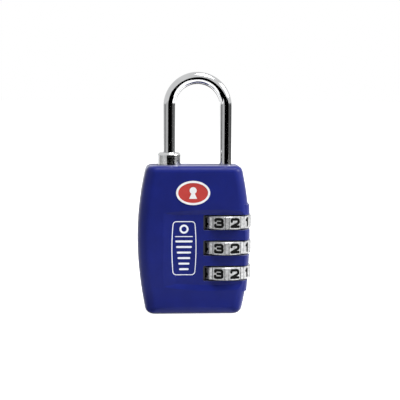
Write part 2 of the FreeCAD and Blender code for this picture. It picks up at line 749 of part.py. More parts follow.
def dial(name, index):
    """A number wheel: ten flat pads with a ridge between, and ten inner notches."""
    label = f"dial_{name}"
    rim = "( dial_width / 2 )"
    bore = "( tooth_reach + 2 * mesh_gap )"
    neck = "( hub_radius + mesh_gap )"
    body = turned(label, [
        (bore, "0"), (f"{rim} - dial_chamfer", "0"), (rim, "dial_chamfer"),
        (rim, "dial_thick - dial_chamfer"), (f"{rim} - dial_chamfer", "dial_thick"),
        (neck, "dial_thick"), (neck, "dial_thick / 2"), (bore, "dial_thick / 2"),
    ])
    flat = new_sketch(body, f"{label}_flat")
    pad_edge = "( sqrt(dial_flat * ( dial_width - dial_flat ) ) )"
    face = f"( {rim} - dial_flat )"
    outline(flat, [
        (face, f"0 - {pad_edge}"), (face, pad_edge),
        (f"{face} - dial_groove", f"{pad_edge} + dial_groove / 3"),
        (f"{rim} + 1", f"{pad_edge} + dial_groove * 1.6"),
        (f"{rim} + 1", f"0 - {pad_edge} - dial_groove * 1.6"),
        (f"{face} - dial_groove", f"0 - {pad_edge} - dial_groove / 3"),
    ])
    polar(body, pocket(body, flat, "dial_thick"), flat, 10)
    notch = new_sketch(body, f"{label}_notch", offset="dial_thick / 2 - dial_chamfer")
    half = "( tooth_width / 2 + mesh_gap )"
    outline(notch, [("hub_radius / 2", f"0 - {half}"), ("tooth_reach + mesh_gap", f"0 - {half}"),
                    ("tooth_reach + mesh_gap", half), ("hub_radius / 2", half)])
    polar(body, pocket(body, notch, "dial_thick"), notch, 10)
    return place(body, LONG_LEG_X, "0", f"{dial_z(index)} - dial_thick / 2")


def clutch(name, index):
    """The toothed sleeve in a dial, slotted for one fin of the shackle."""
    label = f"clutch_{name}"
    body = turned(label, [
        ("wire / 2 + run_gap", "0"), ("hub_radius", "0"), ("hub_radius", "clutch_length"),
        ("wire / 2 + run_gap", "clutch_length"),
    ])
    tooth = new_sketch(body, f"{label}_tooth", offset="clutch_length - tooth_height - dial_chamfer")
    outline(tooth, [("hub_radius - mesh_gap", "0 - tooth_width / 2"), ("tooth_reach", "0 - tooth_width / 2"),
                    ("tooth_reach", "tooth_width / 2"), ("hub_radius - mesh_gap", "tooth_width / 2")])
    polar(body, pad(body, tooth, "tooth_height"), tooth, 10)
    slot = new_sketch(body, f"{label}_slot")
    half = "( fin_width / 2 + run_gap )"
    outline(slot, [("0 - fin_reach - 2 * run_gap", f"0 - {half}"), ("0", f"0 - {half}"), ("0", half),
                   ("0 - fin_reach - 2 * run_gap", half)])
    pocket(body, slot, "clutch_length")
    return place(body, LONG_LEG_X, "0", f"{dial_z(index)} + {CLUTCH_LOW}")


dials = [dial(name, index) for name, index in DIALS.items()]
clutches = [clutch(name, index) for name, index in DIALS.items()]


# -------------------------------------------------------------------- key override

release_collar = place(turned("release_collar", [
    ("0", "0"), ("stem_width / 2", "0"), ("stem_width / 2", f"{FLANGE_LOW} - stem_low"),
    ("flange_width / 2", f"{FLANGE_LOW} - stem_low"),
    ("flange_width / 2", f"{FLANGE_LOW} + flange_thick - stem_low"),
    ("collar_width / 2", f"{FLANGE_LOW} + flange_thick - stem_low"),
    ("collar_width / 2", f"{COLLAR_TOP} - stem_low"),
    ("wire / 2 + collar_bore_gap", f"{COLLAR_TOP} - stem_low"),
    ("wire / 2 + collar_bore_gap", f"{COLLAR_TOP} - collar_bore_depth - stem_low"),
    ("0", f"{COLLAR_TOP} - collar_bore_depth - stem_low"),
]), "short_leg_x", "0", "stem_low")
collar_turn = release_collar.Tip
collar_edge = round_edges(release_collar, collar_turn, "collar_edge", lambda edge: (
    edge.Closed and abs(edge.CenterOfMass.z - number(f"{COLLAR_TOP} - stem_low")) < NEAR
    and edge.BoundBox.XLength > number("collar_width") - 0.1))
cross_hole = new_sketch(release_collar, "cross_hole", "YZ_Plane", offset="0 - flange_width")
spot = cross_hole.addGeometry(Part.Circle(
    Vector(0, number("pin_height - stem_low"), 0), Vector(0, 0, 1), number("pin_width / 2")))
tie_radius(cross_hole, spot, "pin_width / 2")
tie(cross_hole, "DistanceX", spot, "0", point=3)
tie(cross_hole, "DistanceY", spot, "pin_height - stem_low", point=3)
pocket(release_collar, cross_hole, "2 * flange_width")
collar_pin = cylinder("collar_pin", "pin_width", "bore_width - 4 * run_gap",
                      "short_leg_x - bore_width / 2 + 2 * run_gap", "0", "pin_height", along="X")

housing_cuts = fuse("housing_cuts", [
    cylinder("plug_bore", "plug_width + 2 * run_gap", "2 * cylinder_high", "short_leg_x", "0", "0"),
    cylinder("head_bore", "plug_head + 2 * run_gap", "2 * ( cylinder_low + plug_head_thick + run_gap )",
             "short_leg_x", "0", "0 - cylinder_low - plug_head_thick - run_gap"),
    cylinder("housing_notch", "lock_pin", "2 * body_depth", "short_leg_x + bore_width / 2",
             "0 - body_depth", "housing_pin_z", along="Y"),
])
cylinder_housing = cut("cylinder_housing",
                       cylinder("housing_blank", "bore_width - 2 * slip_gap",
                                "cylinder_high - cylinder_low", "short_leg_x", "0", "cylinder_low"),
                       housing_cuts)

SLOT_FLOOR = "( pin_height - collar_height - pin_width / 2 - cam_slot_gap / 2 )"
SLOT_ROOF = "( pin_height + pin_width / 2 + cam_slot_gap / 2 )"
SLOT_HALF = "( pin_width / 2 + cam_slot_gap / 3 )"
sleeve_cuts = fuse("sleeve_cuts", [
    cylinder("sleeve_bore", "sleeve_width", "sleeve_high - sleeve_roof", "short_leg_x", "0", "0"),
    cylinder("stem_hole", "stem_width + 4 * run_gap", "2 * sleeve_high", "short_leg_x", "0", "0"),
    box("guide_slots",
        ("short_leg_x - bore_width", f"0 - {SLOT_HALF}", SLOT_FLOOR),
        ("short_leg_x + bore_width", SLOT_HALF, SLOT_ROOF)),
    cylinder("sleeve_notch", "lock_pin", "2 * body_depth", "short_leg_x + bore_width / 2",
             "0 - body_depth", "sleeve_pin_z", along="Y"),
])
cam_sleeve = cut("cam_sleeve",
                 cylinder("sleeve_blank", "bore_width - 2 * slip_gap",
                          "sleeve_high - cylinder_high", "short_leg_x", "0", "cylinder_high"),
                 sleeve_cuts)

tail_flats = doc.addObject("Part::Common", "plug_tail")
tail_flats.Base = cylinder("tail_round", "tail_width", f"{CAM_SEAT} - plug_back + slip_gap",
                           "short_leg_x", "0", "plug_back - slip_gap")
tail_flats.Tool = box("tail_block",
                      ("short_leg_x - tail_flat / 2", "0 - tail_width", "plug_back - cam_floor"),
                      ("short_leg_x + tail_flat / 2", "tail_width", CAM_SEAT))


def wafer_z(index):
    """Height of a wafer's underside."""
    return f"( wafer_first + {index} * wafer_pitch )"


def wafer_place(name, gap, end):
    """The five wafers as flat blocks, grown by a gap."""
    items = []
    for index in range(int(number("wafer_count"))):
        low = wafer_z(index)
        items.append(box(f"{name}_{index + 1}",
                         (f"short_leg_x - wafer_width / 2 - {gap}", f"0 - {end}", f"{low} - {gap}"),
                         (f"short_leg_x + wafer_width / 2 + {gap}", end,
                          f"{low} + wafer_thick + {gap}")))
    return items


SPRING_X = "( short_leg_x + wafer_width / 2 + wafer_spring / 2 )"
spring_holes = []
for index in range(int(number("wafer_count"))):
    spring_holes.append(cylinder(
        f"spring_hole_{index + 1}", "wafer_spring + 2 * wafer_gap", "plug_width / 2", SPRING_X,
        "0 - plug_width / 4", f"{wafer_z(index)} + wafer_thick / 2", along="Y"))
key_plug = cut("key_plug",
               fuse("plug_blank", [
                   cylinder("plug_barrel", "plug_width", "plug_back - cylinder_low", "short_leg_x", "0",
                            "cylinder_low"),
                   cylinder("plug_face", "plug_head", "plug_head_thick", "short_leg_x", "0", "cylinder_low"),
                   tail_flats]),
               fuse("plug_cuts", wafer_place("wafer_slot", "wafer_gap", "plug_width") + spring_holes + [
                   box("keyway",
                       ("short_leg_x - keyway_width / 2", "0 - keyway_height / 2", "0"),
                       ("short_leg_x + keyway_width / 2", "keyway_height / 2", "keyway_end")),
                   box("ward",
                       ("short_leg_x - keyway_width / 2 - ward_width", "0 - ward_height", "0"),
                       ("short_leg_x", "ward_height / 2", "keyway_end")),
                   cylinder("screw_thread", "screw_wire", "screw_length + 2 * screw_room",
                            "short_leg_x", "0", f"{CAM_SEAT} - screw_length - screw_room")]))

wafer_blanks = doc.addObject("Part::Common", "wafer_blanks")
wafer_blanks.Base = fuse("wafer_stack", wafer_place("wafer", "0", "plug_width"))
wafer_blanks.Tool = cylinder("wafer_round", "plug_width - 2 * run_gap", "plug_back", "short_leg_x")
wafers = cut("wafers", wafer_blanks, box(
    "wafer_windows",
    ("short_leg_x - wafer_window / 2", "0 - keyway_height / 3", "0"),
    ("short_leg_x + wafer_window / 2", "keyway_height / 3", "plug_back")))

small_coils = []
for index in range(int(number("wafer_count"))):
    spring = coil(number("wafer_spring"), number("wafer_wire"),
                  number("plug_width / 2 - 2 * wafer_spring_gap"), TURN_COUNT["wafer"])
    spring.rotate(Vector(), Vector(1, 0, 0), -90)
    spring.translate(Vector(number(SPRING_X), number("wafer_spring_gap - plug_width / 4"),
                            number(f"{wafer_z(index)} + wafer_thick / 2")))
    small_coils.append(spring)
wafer_springs = solid("wafer_springs", Part.makeCompound(small_coils))


def barrel_cam():
    """A floored tube with two helical slots, which pull the cross pin down."""
    outer, bore = number("cam_width / 2"), number("cam_bore / 2")
    low, high = number(CAM_LOW), number("cam_high")
    tube = Part.makeCylinder(outer, high - low, Vector(0, 0, low))
    tube = tube.cut(Part.makeCylinder(bore, high, Vector(0, 0, low + number("cam_floor"))))
    floor = number("cam_floor")
    flats = Part.makeBox(
        number("tail_flat + 2 * slip_gap"), number("tail_width + 2 * slip_gap"), 2 * floor,
        Vector(-number("tail_flat / 2 + slip_gap"), -number("tail_width / 2 + slip_gap"), low - floor / 2))
    tube = tube.cut(flats.common(Part.makeCylinder(
        number("tail_width / 2 + slip_gap"), 2 * floor, Vector(0, 0, low - floor / 2))))
    half = number("pin_width / 2 + cam_slot_gap")
    drop, top = number("collar_height"), number("pin_height")
    middle, wall = (outer + bore) / 2, outer - bore
    helix = Part.makeHelix(4 * drop, drop, middle)
    section = Part.Wire(Part.makePolygon([
        Vector(middle + x, 0, z)
        for x, z in ((-wall, -half), (wall, -half), (wall, half), (-wall, half), (-wall, -half))]))
    run = Part.Wire(helix).makePipeShell([section], True, True)
    run.rotate(Vector(), Vector(0, 0, 1), -90)
    ends = [Part.makeBox(2 * wall, half, 2 * half, Vector(middle - wall, 0, drop - half)),
            Part.makeBox(half, 2 * wall, 2 * half, Vector(-half, -middle - wall, -half))]
    tools = []
    for angle in (0, 180):
        for piece in [run] + ends:
            tool = piece.copy()
            tool.rotate(Vector(), Vector(0, 0, 1), angle)
            tool.translate(Vector(0, 0, top - drop))
            tools.append(tool)
    return solid("plug_cam", tube.cut(tools), number("short_leg_x"))


plug_cam = barrel_cam()
cam_screw = fuse("cam_screw", [
    cylinder("screw_cap", "screw_head", "screw_head_thick", "short_leg_x", "0",
             f"{CAM_SEAT} + slip_gap"),
    cylinder("screw_shank", "screw_wire", "screw_length + screw_head_thick / 2", "short_leg_x", "0",
             f"{CAM_SEAT} - screw_length")])

# ------------------------------------------------------------------------ springs

spring_room = number(f"{CLUTCH_LOW} + {POCKET_HALF} - run_gap")
clutch_coils = []
for index in DIALS.values():
    ring = coil(number("clutch_spring"), number("fine_wire"), spring_room, TURN_COUNT["clutch"])
    ring.translate(Vector(number(LONG_LEG_X), 0, number(f"{dial_z(index)} - {POCKET_HALF}")))
    clutch_coils.append(ring)
clutch_springs = solid("clutch_springs", Part.makeCompound(clutch_coils))
shackle_spring = solid(
    "shackle_spring",
    coil(number("lift_spring"), number("fine_wire"), number(f"{LEG_END} - {WELL_FLOOR} - slip_gap"),
         TURN_COUNT["lift"]),
    number(LONG_LEG_X), 0, number(WELL_FLOOR))
collar_spring = solid(
    "collar_spring",
    coil(number("collar_spring"), number("stout_wire"), number(f"{FLANGE_LOW} - sleeve_high - slip_gap"),
         TURN_COUNT["collar"]),
    number("short_leg_x"), 0, number("sleeve_high"))


# ------------------------------------------------------------------- checks, files

PIECES = [
    front_shell, back_shell, lock_frame, leg_bush, badge_rim, badge_inlay, cylinder_housing,
    cam_sleeve, retaining_pins, detent_spring, clutch_springs, shackle_spring, collar_spring,
    shackle_body, stop_ring, *dials, *clutches, release_collar, collar_pin, key_plug, plug_cam,
    cam_screw, wafers, wafer_springs,
]

doc.recompute()
faults = [item.Label for item in doc.Objects if {"Invalid", "Error"} & set(item.State)]
for piece in PIECES:
    shape = piece.Shape
    if shape.isNull() or not shape.isValid() or not shape.Solids:
        faults.append(piece.Label)
if faults:
    raise RuntimeError("not built: " + ", ".join(faults))

os.makedirs("parts", exist_ok=True)
for piece in PIECES:
    piece.Shape.exportStep(f"parts/{piece.Label}.step")
    print(f"{piece.Label}: {len(piece.Shape.Solids)} solid(s), {piece.Shape.Volume:.2f} mm3")
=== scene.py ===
"""Finishes, numbers and printing of a three-dial travel padlock, with a small studio.

Metres, in the frame of the working model: the origin is the centre of the flat
base, +Z is up, the front faces -Y and the dials stand out on the +X side.
"""
import math

import bmesh
import bpy
from mathutils import Matrix, Vector
from mathutils.bvhtree import BVHTree
from mathutils.geometry import delaunay_2d_cdt


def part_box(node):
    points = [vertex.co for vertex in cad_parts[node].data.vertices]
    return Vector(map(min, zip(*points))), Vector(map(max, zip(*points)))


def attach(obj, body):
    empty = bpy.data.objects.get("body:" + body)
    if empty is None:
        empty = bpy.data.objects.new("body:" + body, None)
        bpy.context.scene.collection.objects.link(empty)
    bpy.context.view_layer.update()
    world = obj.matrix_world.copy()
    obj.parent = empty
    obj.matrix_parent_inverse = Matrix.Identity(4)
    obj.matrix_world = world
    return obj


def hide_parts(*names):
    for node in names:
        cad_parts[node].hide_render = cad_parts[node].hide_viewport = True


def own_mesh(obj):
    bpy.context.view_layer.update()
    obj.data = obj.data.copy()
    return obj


bl_info = {
    "name": "Travel Padlock",
    "version": (1, 0, 0),
    "blender": (4, 5, 0),
    "location": "3D View > Sidebar > Padlock",
    "description": "Finishes, dial numbers, printing and studio of a travel padlock",
    "category": "Object",
}

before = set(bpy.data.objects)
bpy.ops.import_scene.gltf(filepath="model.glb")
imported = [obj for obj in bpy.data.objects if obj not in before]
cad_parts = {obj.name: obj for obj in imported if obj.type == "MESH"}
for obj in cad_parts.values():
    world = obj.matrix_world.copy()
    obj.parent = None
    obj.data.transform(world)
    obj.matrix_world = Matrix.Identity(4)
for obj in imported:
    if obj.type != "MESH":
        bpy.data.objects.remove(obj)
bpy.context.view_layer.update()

MM = 0.001
DIALS = ("dial_lower", "dial_middle", "dial_upper")
NUMERAL_STEP = math.radians(36)


# ------------------------------------------------------------- sizes and colours

def color(name, description, default):
    """A colour in linear red, green and blue."""
    return bpy.props.FloatVectorProperty(
        name=name, description=description, default=default, size=3, min=0, max=1, subtype="COLOR"
    )


def length(name, description, default):
    """A length in metres."""
    return bpy.props.FloatProperty(
        name=name, description=description, default=default, min=0, unit="LENGTH", precision=5
    )


def angle(name, description, default):
    """An angle, kept in radians."""
    return bpy.props.FloatProperty(
        name=name, description=description, default=math.radians(default), subtype="ANGLE"
    )


def share(name, description, default):
    """A share from 0 to 1."""
    return bpy.props.FloatProperty(
        name=name, description=description, default=default, min=0, max=1, subtype="FACTOR"
    )


class PadlockCase(bpy.types.PropertyGroup):
    """The moulded shells."""

    blue: color("Blue", "Colour of the moulded shells", (0.0034, 0.0090, 0.132))
    # Lighter blue on sharp edges: partly wear, partly a painted edge highlight.
    worn_and_highlight_blue: color("Worn blue", "Colour of rubbed edges", (0.022, 0.036, 0.25))
    roughness: share("Roughness", "Roughness of the satin surface", 0.36)
    gloss: share("Gloss", "Strength of the surface's mirror reflection", 0.13)
    bloom: share("Bloom", "Strength of the pale bloom at glancing angles", 0.42)
    bloom_spread: share("Bloom spread", "How far the bloom reaches in from the outline", 0.40)
    grain: length("Grain", "Size of the mould's fine grain", 0.12 * MM)
    grain_depth: length("Grain depth", "Height of the fine grain", 0.003 * MM)
    sink_depth: length("Sink depth", "Depth of the broad sink marks", 0.02 * MM)
    # Reach of the lighter edges, which are partly wear and partly a painted highlight.
    edge: length("Edge", "Reach of the wear beside an edge", 0.22 * MM)


class PadlockMetal(bpy.types.PropertyGroup):
    """The plated, cast and turned metals."""

    chrome: color("Chrome", "Colour of the polished shackle and collar", (0.58, 0.585, 0.59))
    chrome_roughness: share("Chrome roughness", "Roughness of the polished shackle", 0.07)
    collar_roughness: share("Collar roughness", "Roughness of the chromed collar casting", 0.14)
    dial: color("Dial metal", "Colour of the satin dials", (0.57, 0.575, 0.58))
    dial_roughness: share("Dial roughness", "Roughness of the satin dials", 0.34)
    # Far darker than bare zinc: painted shade, so the frame seen in the gaps round the dials reads
    # as black.
    shaded_zinc: color("Zinc", "Colour of the dark castings", (0.06, 0.06, 0.065))
    brass: color("Brass", "Colour of the cylinder and its plug", (0.60, 0.42, 0.14))
    steel: color("Steel", "Colour of pins, springs and clutches", (0.48, 0.48, 0.50))
    sinter: color("Sintered steel", "Colour of the clutches and the cam", (0.30, 0.30, 0.31))


class PadlockNumbers(bpy.types.PropertyGroup):
    """The numbers on the dials."""

    ink: color("Ink", "Colour of the numbers", (0.003, 0.003, 0.003))
    gloss: share("Gloss", "Strength of the ink's mirror reflection", 0.06)
    width: length("Width", "Width of a number over its strokes", 2.68 * MM)
    height: length("Height", "Height of a number over its strokes", 2.66 * MM)
    stroke: length("Stroke", "Width of a stroke", 0.70 * MM)
    corner: length("Corner", "Largest radius of a number's corners", 0.75 * MM)
    film: length("Film", "Height of the ink above its pad", 0.02 * MM)


class PadlockPrint(bpy.types.PropertyGroup):
    """The plain white print on the front."""

    ink: color("Ink", "Colour of the print", (0.80, 0.82, 0.90))
    to_left: length("To left", "Middle of the print to the left of the lock's middle", 2.75 * MM)
    width: length("Width", "Width of the outline", 6.4 * MM)
    height: length("Height", "Height of the outline", 14.2 * MM)
    bow: length("Bow", "How far the long sides bow outwards", 0.35 * MM)
    corner: length("Corner", "Radius of the outline's corners", 0.9 * MM)
    line: length("Line", "Width of the outline's line", 0.22 * MM)
    head: share("Head", "Share of the height above the dividing line", 0.28)
    ring: length("Ring", "Radius of the ring in the head", 0.95 * MM)
    ring_line: length("Ring line", "Width of the ring's line", 0.5 * MM)
    margin: length("Margin", "Outline's width to the ends of the longest line", 0.95 * MM)
    foot: length("Foot", "Lowest bar above the outline's foot", 1.5 * MM)
    gap: length("Gap", "Highest bar below the dividing line", 1.3 * MM)
    bars: bpy.props.IntProperty(name="Bars", description="Number of bars", default=6, min=2)
    bar: length("Bar", "Width of a bar", 0.52 * MM)
    shortest: share("Shortest", "Lowest bar's length as a share of the dividing line", 0.45)
    longest: share("Longest", "Highest bar's length as a share of the dividing line", 0.90)
    film: length("Film", "Height of the ink above the shell", 0.015 * MM)


class PadlockBadge(bpy.types.PropertyGroup):
    """The oval badge above the dials."""

    red: color("Red", "Colour of the enamel", (0.50, 0.055, 0.048))
    white: color("White", "Colour of the rim and the keyhole", (0.86, 0.86, 0.87))
    keyhole: length("Keyhole", "Height of the keyhole shape", 3.1 * MM)
    keyhole_head: share("Keyhole head", "Head's radius as a share of the height", 0.30)
    keyhole_foot: share("Keyhole foot", "Foot's half width as a share of the height", 0.34)
    film: length("Film", "Height of the keyhole above the enamel", 0.03 * MM)


class PadlockStudio(bpy.types.PropertyGroup):
    """The floor, the lamps and the camera."""

    floor: color("Floor", "Colour of the floor", (0.60, 0.60, 0.60))
    floor_glow: share("Floor glow", "Brightness that is added to the floor in the view", 0.97)
    floor_reach: length("Floor reach", "Radius of the floor", 4.0)
    ambient: share("Ambient", "Strength of the soft light from all round", 0.12)
    lamp_aim: length("Lamp aim", "Height that the lamps point at", 30 * MM)
    card_distance: length("Card distance", "Lock to the standing cards", 440 * MM)
    distance: length("Distance", "Camera to the lock", 307 * MM)
    azimuth: angle("Azimuth", "Camera's turn round the lock, from the front to the right", -3.9)
    elevation: angle("Elevation", "Camera's height above the aim", 5.75)
    roll: angle("Roll", "Camera's roll", 0.3)
    aim_x: length("Aim X", "Point that the camera looks at", 1.83 * MM)
    aim_z: length("Aim Z", "Height that the camera looks at", 30.18 * MM)
    lens: bpy.props.FloatProperty(
        name="Lens", description="Focal length, in millimetres", default=102.7, min=1
    )


# ------------------------------------------------------------------ mesh helpers

def finish_mesh(name, bm, material, body):
    """Turn a built mesh into a piece that rides on a body."""
    bmesh.ops.remove_doubles(bm, verts=bm.verts, dist=1e-8)
    bmesh.ops.recalc_face_normals(bm, faces=bm.faces)
    mesh = bpy.data.meshes.new(name)
    bm.to_mesh(mesh)
    bm.free()
    piece = bpy.data.objects.new(name, mesh)
    bpy.context.scene.collection.objects.link(piece)
    piece.data.materials.append(material)
    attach(piece, body)


CORNER_STEPS = 6
CAP_STEPS = 5
LONGEST_CUT = 0.98      # of half a side, so that neighbouring corners stay apart


def rounded(points, radius, closed=False):
    """Round the corners of a run of 2-D points; a third number scales a corner's radius."""
    corners = [Vector(p[:2]) for p in points]
    scales = [p[2] if len(p) > 2 else 1 for p in points]
    count = len(corners)
    path = []
    for i, corner in enumerate(corners):
        if scales[i] == 0 or (not closed and i in (0, count - 1)):
            path.append(corner)
            continue
        back = corners[i - 1] - corner
        ahead = corners[(i + 1) % count] - corner
        half_turn = (math.pi - back.angle(ahead)) / 2
        half_side = min(back.length, ahead.length) / 2
        cut = min(radius * scales[i] * math.tan(half_turn), LONGEST_CUT * half_side)
        to_center = (back.normalized() + ahead.normalized()).normalized()
        arc_radius = cut / math.tan(half_turn)
        center = corner + to_center * (arc_radius / math.cos(half_turn))
        start = corner + back.normalized() * cut - center
        sense = math.copysign(1, ahead.cross(back))
        for k in range(CORNER_STEPS + 1):
            spoke = start.copy()
            spoke.rotate(Matrix.Rotation(sense * 2 * half_turn * k / CORNER_STEPS, 2))
            path.append(center + spoke)
    return path


def stations(path, width, closed):
    """Return centre, side and half width at each station of a stroke, with round ends."""
    count = len(path)
    out = []
    for i, point in enumerate(path):
        before = path[i - 1] if closed or i else point
        after = path[(i + 1) % count] if closed or i < count - 1 else point
        along = (after - before).normalized()
        side = Vector((-along.y, along.x))
        out.append((point, side, width / 2))
    if closed:
        return out
    first, first_side, _ = out[0]
    last, last_side, _ = out[-1]
    first_along = Vector((first_side.y, -first_side.x))
    last_along = Vector((last_side.y, -last_side.x))
    head, tail = [], []
    for k in range(1, CAP_STEPS + 1):
        bend = math.pi / 2 * k / CAP_STEPS
        reach, half = math.sin(bend) * width / 2, math.cos(bend) * width / 2
        head.insert(0, (first - first_along * reach, first_side, half))
        tail.append((last + last_along * reach, last_side, half))
    return head + out + tail


def stroke(path, width, closed=False):
    """Return the small polygons that cover a stroke of ink along a path."""
    rims = [(p + side * half, p - side * half) for p, side, half in stations(path, width, closed)]
    pairs = list(zip(rims, rims[1:]))
    if closed:
        pairs.append((rims[-1], rims[0]))
    return [(left, right, next_right, next_left) for (left, right), (next_left, next_right) in pairs]


def turns_left(polygon):
    """Whether a polygon's corners run counterclockwise."""
    return sum(a.cross(b) for a, b in zip(polygon, (*polygon[1:], polygon[0]))) > 0


def inside(point, outline):
    """Whether a point lies in an outline, by counting the edges to its right."""
    within = False
    for before, after in zip(outline, (*outline[1:], outline[0])):
        if (before.y > point.y) != (after.y > point.y):
            crossing = before.lerp(after, (point.y - before.y) / (after.y - before.y))
            if crossing.x > point.x:
                within = not within
    return within


def ink_film(polygons, film):
    """Unite flat polygons into one film, half sunk into the surface it lies on."""
    merge = 1e-4        # millimetres between corners that become one
    nearly_flat = math.radians(1)
    filled = 1          # the triangulation keeps only what the outlines enclose
    corners, faces = [], []
    for polygon in polygons:
        start = len(corners)
        corners += [p / MM for p in polygon]
        face = [start + i for i in range(len(polygon))]
        faces.append(face if turns_left(polygon) else face[::-1])
    points, _, triangles, _, _, _ = delaunay_2d_cdt(corners, [], faces, filled, merge)
    outlines = [[corners[i] for i in face] for face in faces]
    bm = bmesh.new()
    verts = [bm.verts.new((p.x * MM, p.y * MM, -film)) for p in points]
    for triangle in triangles:
        middle = sum((points[i] for i in triangle), Vector((0, 0))) / len(triangle)
        if any(inside(middle, outline) for outline in outlines):
            bm.faces.new([verts[i] for i in triangle])
    bmesh.ops.dissolve_limit(
        bm, angle_limit=nearly_flat, verts=bm.verts, edges=bm.edges, delimit=set()
    )
    raised = bmesh.ops.extrude_face_region(bm, geom=list(bm.faces))
    for vert in (g for g in raised["geom"] if isinstance(g, bmesh.types.BMVert)):
        vert.co.z = film
    bmesh.ops.recalc_face_normals(bm, faces=bm.faces)
    return bm


def add_to(target, source, transform):
    """Copy a mesh into another, moved by a matrix or a function of its points."""
    move = transform if callable(transform) else lambda point: transform @ point
    copies = {v: target.verts.new(move(v.co)) for v in source.verts}
    for face in source.faces:
        target.faces.new([copies[v] for v in face.verts])


def surface(node):
    """A search tree over the faces of a CAD node."""
    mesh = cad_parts[node].data
    corners = [v.co.copy() for v in mesh.vertices]
    return BVHTree.FromPolygons(corners, [list(p.vertices) for p in mesh.polygons])


# -------------------------------------------------------------- material helpers

# Places of the colour sockets on a Mix node.
MIX_FACTOR, MIX_FIRST, MIX_SECOND, MIX_RESULT = 0, 6, 7, 2


def add(material, kind, settings=None, **inputs):
    """Add a node with its settings and its unlinked inputs."""
    made = material.node_tree.nodes.new(kind)
    for name, value in (settings or {}).items():
        setattr(made, name, value)
    for name, value in inputs.items():
        made.inputs[name.replace("_", " ")].default_value = value
    return made


def join(material, source, target):
    """Link an output to an input."""
    material.node_tree.links.new(source, target)


def principled(name, base, metallic, roughness):
    """Start a material and return it with its surface shader."""
    material = bpy.data.materials.new(name)
    material.use_nodes = True
    shader = material.node_tree.nodes["Principled BSDF"]
    shader.inputs["Base Color"].default_value = (*base, 1)
    shader.inputs["Metallic"].default_value = metallic
    shader.inputs["Roughness"].default_value = roughness
    return material, shader


def noise(material, size, detail=3, stretch=(1, 1, 1)):
    """Noise with features of a size in metres, in the frame of the lock."""
    place = add(material, "ShaderNodeTexCoord")
    mapping = add(material, "ShaderNodeMapping", Scale=stretch)
    made = add(material, "ShaderNodeTexNoise", Scale=1 / size, Detail=detail, Roughness=0.55)
    join(material, place.outputs["Object"], mapping.inputs["Vector"])
    join(material, mapping.outputs["Vector"], made.inputs["Vector"])
    return made.outputs["Fac"]


def between(material, value, low, high, start=0.3, end=0.7):
    """Spread a value from start..end to low..high."""
    made = add(material, "ShaderNodeMapRange", From_Min=start, From_Max=end, To_Min=low, To_Max=high)
    join(material, value, made.inputs["Value"])
    return made.outputs["Result"]


def shaded(tone, factor):
    """A tone made darker or paler by a factor."""
    return tuple(factor * c for c in tone)


def blend_colors(material, factor, first, second):
    """Mix two colours by a factor; the first may be the result of another mix."""
    made = add(material, "ShaderNodeMix", {"data_type": "RGBA"})
    if isinstance(first, bpy.types.NodeSocket):
        join(material, first, made.inputs[MIX_FIRST])
    else:
        made.inputs[MIX_FIRST].default_value = (*first, 1)
    made.inputs[MIX_SECOND].default_value = (*second, 1)
    join(material, factor, made.inputs[MIX_FACTOR])
    return made.outputs[MIX_RESULT]


def mottle(material, shader, pattern, first, second):
    """Spread the base colour between two tones by a pattern."""
    tone = blend_colors(material, between(material, pattern, 0, 1), first, second)
    join(material, tone, shader.inputs["Base Color"])


def vary_roughness(material, shader, pattern, low, high, start=0.3, end=0.7):
    """Spread the roughness between two values by a pattern."""
    join(material, between(material, pattern, low, high, start, end), shader.inputs["Roughness"])


def sharp_edges(material, reach):
    """A factor that rises from 0 to 1 where an edge is sharp."""
    starts, full = 0.995, 0.955     # cosines of the angle between the rounded and the true face
    bevel = add(material, "ShaderNodeBevel", {"samples": 6}, Radius=reach)
    plain = add(material, "ShaderNodeNewGeometry")
    dot = add(material, "ShaderNodeVectorMath", {"operation": "DOT_PRODUCT"})
    join(material, bevel.outputs["Normal"], dot.inputs[0])
    join(material, plain.outputs["Normal"], dot.inputs[1])
    return between(material, dot.outputs["Value"], 0, 1, starts, full)


def relief(material, shader, *layers):
    """Stack bump layers, each a height with its depth in metres."""
    normal = None
    for height, depth in layers:
        bump = add(material, "ShaderNodeBump", Strength=1, Distance=depth)
        join(material, height, bump.inputs["Height"])
        if normal:
            join(material, normal, bump.inputs["Normal"])
        normal = bump.outputs["Normal"]
    join(material, normal, shader.inputs["Normal"])


# --------------------------------------------------------------------- materials

def moulded_plastic(case):
    """Satin blue plastic with fine mould grain, faint flow marks and lighter rubbed edges, partly
    wear and partly a painted highlight.
    """
    material, shader = principled("moulded_plastic", case.blue, 0, case.roughness)
    shader.inputs["Specular IOR Level"].default_value = case.gloss
    shader.inputs["Sheen Weight"].default_value = case.bloom
    shader.inputs["Sheen Roughness"].default_value = case.bloom_spread
    cloud = noise(material, 6 * MM)
    rub = noise(material, 0.9 * MM, detail=6)
    # Sharp edges lighten towards the lighter blue, thinned by a rub pattern: partly wear, partly a
    # painted highlight.
    wear_and_highlight = add(material, "ShaderNodeMath", {"operation": "MULTIPLY"})
    join(material, sharp_edges(material, case.edge), wear_and_highlight.inputs[0])
    join(material, between(material, rub, 0.05, 0.6), wear_and_highlight.inputs[1])
    deep, bright = shaded(case.blue, 0.9), shaded(case.blue, 1.12)
    fresh = blend_colors(material, between(material, cloud, 0, 1), deep, bright)
    tone = blend_colors(material, wear_and_highlight.outputs["Value"], fresh, case.worn_and_highlight_blue)
    join(material, tone, shader.inputs["Base Color"])
    vary_roughness(material, shader, rub, case.roughness - 0.04, case.roughness + 0.07)
    grain = noise(material, case.grain, detail=2)
    sink = noise(material, 9 * MM, detail=1)
    relief(material, shader, (sink, case.sink_depth), (grain, case.grain_depth))
    return material


